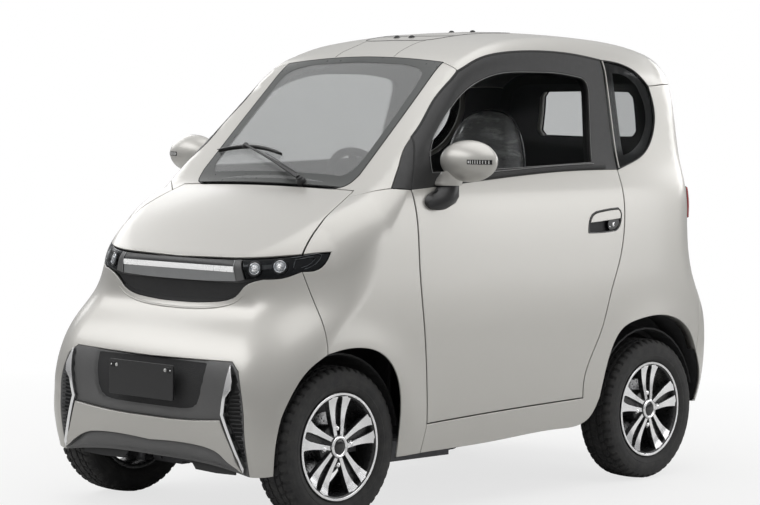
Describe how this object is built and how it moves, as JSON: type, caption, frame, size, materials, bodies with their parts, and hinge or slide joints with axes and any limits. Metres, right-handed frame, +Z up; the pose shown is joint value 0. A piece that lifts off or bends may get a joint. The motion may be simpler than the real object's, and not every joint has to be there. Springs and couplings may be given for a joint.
{
  "type": "city car",
  "caption": "Small electric city car with two hinged doors, bonnet, tailgate, a driver's seat ahead of a rear bench, and steered alloy wheels.",
  "frame": {"origin": "on the ground, below the middle of the car's length and width", "axes": "+X to the car's left, -Y to the front, +Z up"},
  "size_m": [1.53, 2.369, 1.5871],
  "materials": {
    "champagne": "champagne metallic lacquer",
    "charcoal": "charcoal moulded plastic",
    "black": "black plastic",
    "glass": "lightly tinted glass",
    "lamp_red": "red lens",
    "rubber": "black rubber",
    "alloy": "machined faces on a dark casting",
    "steel": "black coated steel",
    "battery_case": "black coated case",
    "trim": "dark grey floor covering on a pressed pan",
    "seat": "black synthetic leather"
  },
  "bodies": {
    "car": {"battery_pack": "battery_case", "body_side_left": "champagne", "body_side_right": "champagne", "bumper_insert": "charcoal", "bumper_lip": "champagne", "chassis_frame": "steel", "dashboard": "black", "door_corner_trim_left": "black", "door_corner_trim_right": "black", "driver_seat_back": "seat", "driver_seat_cushion": "seat", "floor_pan": "trim", "front_arch_liner_left": "black", "front_arch_liner_right": "black", "front_bumper": "champagne", "front_fender_left": "champagne", "front_fender_right": "champagne", "front_suspension": "steel", "headlamp_unit": "black", "number_plate": "black", "quarter_glass_left": "glass", "quarter_glass_right": "glass", "rear_arch_liner_left": "black", "rear_arch_liner_right": "black", "rear_axle": "steel", "rear_bench": "seat", "rear_bumper": "champagne", "roof": "champagne", "tail_lamp_left": "lamp_red", "tail_lamp_right": "lamp_red", "windscreen": "glass", "windscreen_pillar_left": "champagne", "windscreen_pillar_right": "champagne", "wiper": "black"},
    "left_door": {"door_left": "champagne", "window_frame_left": "black", "door_glass_left": "glass", "door_handle_left": "champagne", "door_mirror_left": "champagne"},
    "right_door": {"door_right": "champagne", "window_frame_right": "black", "door_glass_right": "glass", "door_handle_right": "champagne", "door_mirror_right": "champagne"},
    "bonnet_lid": {"bonnet": "champagne"},
    "tailgate_lid": {"tailgate": "champagne", "tailgate_glass": "glass"},
    "left_knuckle": {"steering_knuckle_left": "steel"},
    "right_knuckle": {"steering_knuckle_right": "steel"},
    "front_left_wheel": {"front_rim_left": "alloy", "front_tyre_left": "rubber"},
    "front_right_wheel": {"front_rim_right": "alloy", "front_tyre_right": "rubber"},
    "rear_left_wheel": {"rear_rim_left": "alloy", "rear_tyre_left": "rubber"},
    "rear_right_wheel": {"rear_rim_right": "alloy", "rear_tyre_right": "rubber"},
    "tie_rack": {"steering_rack": "steel"},
    "hand_wheel": {"steering_wheel": "black"}
  },
  "joints": [
    {"name": "left_door_hinge", "type": "hinge", "parent": "car", "child": "left_door", "pos_m": [0.547, -0.43945, 0.6], "axis": [0, 0, -1], "range_deg": [0, 65]},
    {"name": "right_door_hinge", "type": "hinge", "parent": "car", "child": "right_door", "pos_m": [-0.547, -0.43945, 0.6], "axis": [0, 0, 1], "range_deg": [0, 65]},
    {"name": "bonnet_hinge", "type": "hinge", "parent": "car", "child": "bonnet_lid", "pos_m": [0, -0.64545, 1.04559], "axis": [-1, 0, 0], "range_deg": [0, 50]},
    {"name": "tailgate_hinge", "type": "hinge", "parent": "car", "child": "tailgate_lid", "pos_m": [0, 1.04302, 1.45304], "axis": [1, 0, 0], "range_deg": [0, 75]},
    {"name": "steer_left", "type": "hinge", "parent": "car", "child": "left_knuckle", "pos_m": [0.438, -0.83245, 0.25], "axis": [0, 0, 1], "range_deg": [-30, 30]},
    {"name": "steer_right", "type": "hinge", "parent": "car", "child": "right_knuckle", "pos_m": [-0.438, -0.83245, 0.25], "axis": [0, 0, 1], "range_deg": [-30, 30]},
    {"name": "rack_slide", "type": "slide", "parent": "car", "child": "tie_rack", "axis": [1, 0, 0], "range_m": [-0.0446, 0.0446]},
    {"name": "hand_wheel_turn", "type": "hinge", "parent": "car", "child": "hand_wheel", "pos_m": [0.13, -0.30945, 1.03], "axis": [0, 0.8824, 0.4706], "range_deg": [-361, 361]},
    {"name": "front_left_wheel_spin", "type": "hinge", "parent": "left_knuckle", "child": "front_left_wheel", "pos_m": [0.475, -0.83245, 0.25], "axis": [1, 0, 0], "continuous": true},
    {"name": "front_right_wheel_spin", "type": "hinge", "parent": "right_knuckle", "child": "front_right_wheel", "pos_m": [-0.475, -0.83245, 0.25], "axis": [1, 0, 0], "continuous": true},
    {"name": "rear_left_wheel_spin", "type": "hinge", "parent": "car", "child": "rear_left_wheel", "pos_m": [0.475, 0.75355, 0.25], "axis": [1, 0, 0], "continuous": true},
    {"name": "rear_right_wheel_spin", "type": "hinge", "parent": "car", "child": "rear_right_wheel", "pos_m": [-0.475, 0.75355, 0.25], "axis": [1, 0, 0], "continuous": true}
  ],
  "couplings": [
    {"joint": "steer_right", "follows": "steer_left", "ratio": 1},
    {"joint": "rack_slide", "follows": "steer_left", "m_per_rad": -0.085},
    {"joint": "hand_wheel_turn", "follows": "steer_left", "ratio": 12}
  ]
}
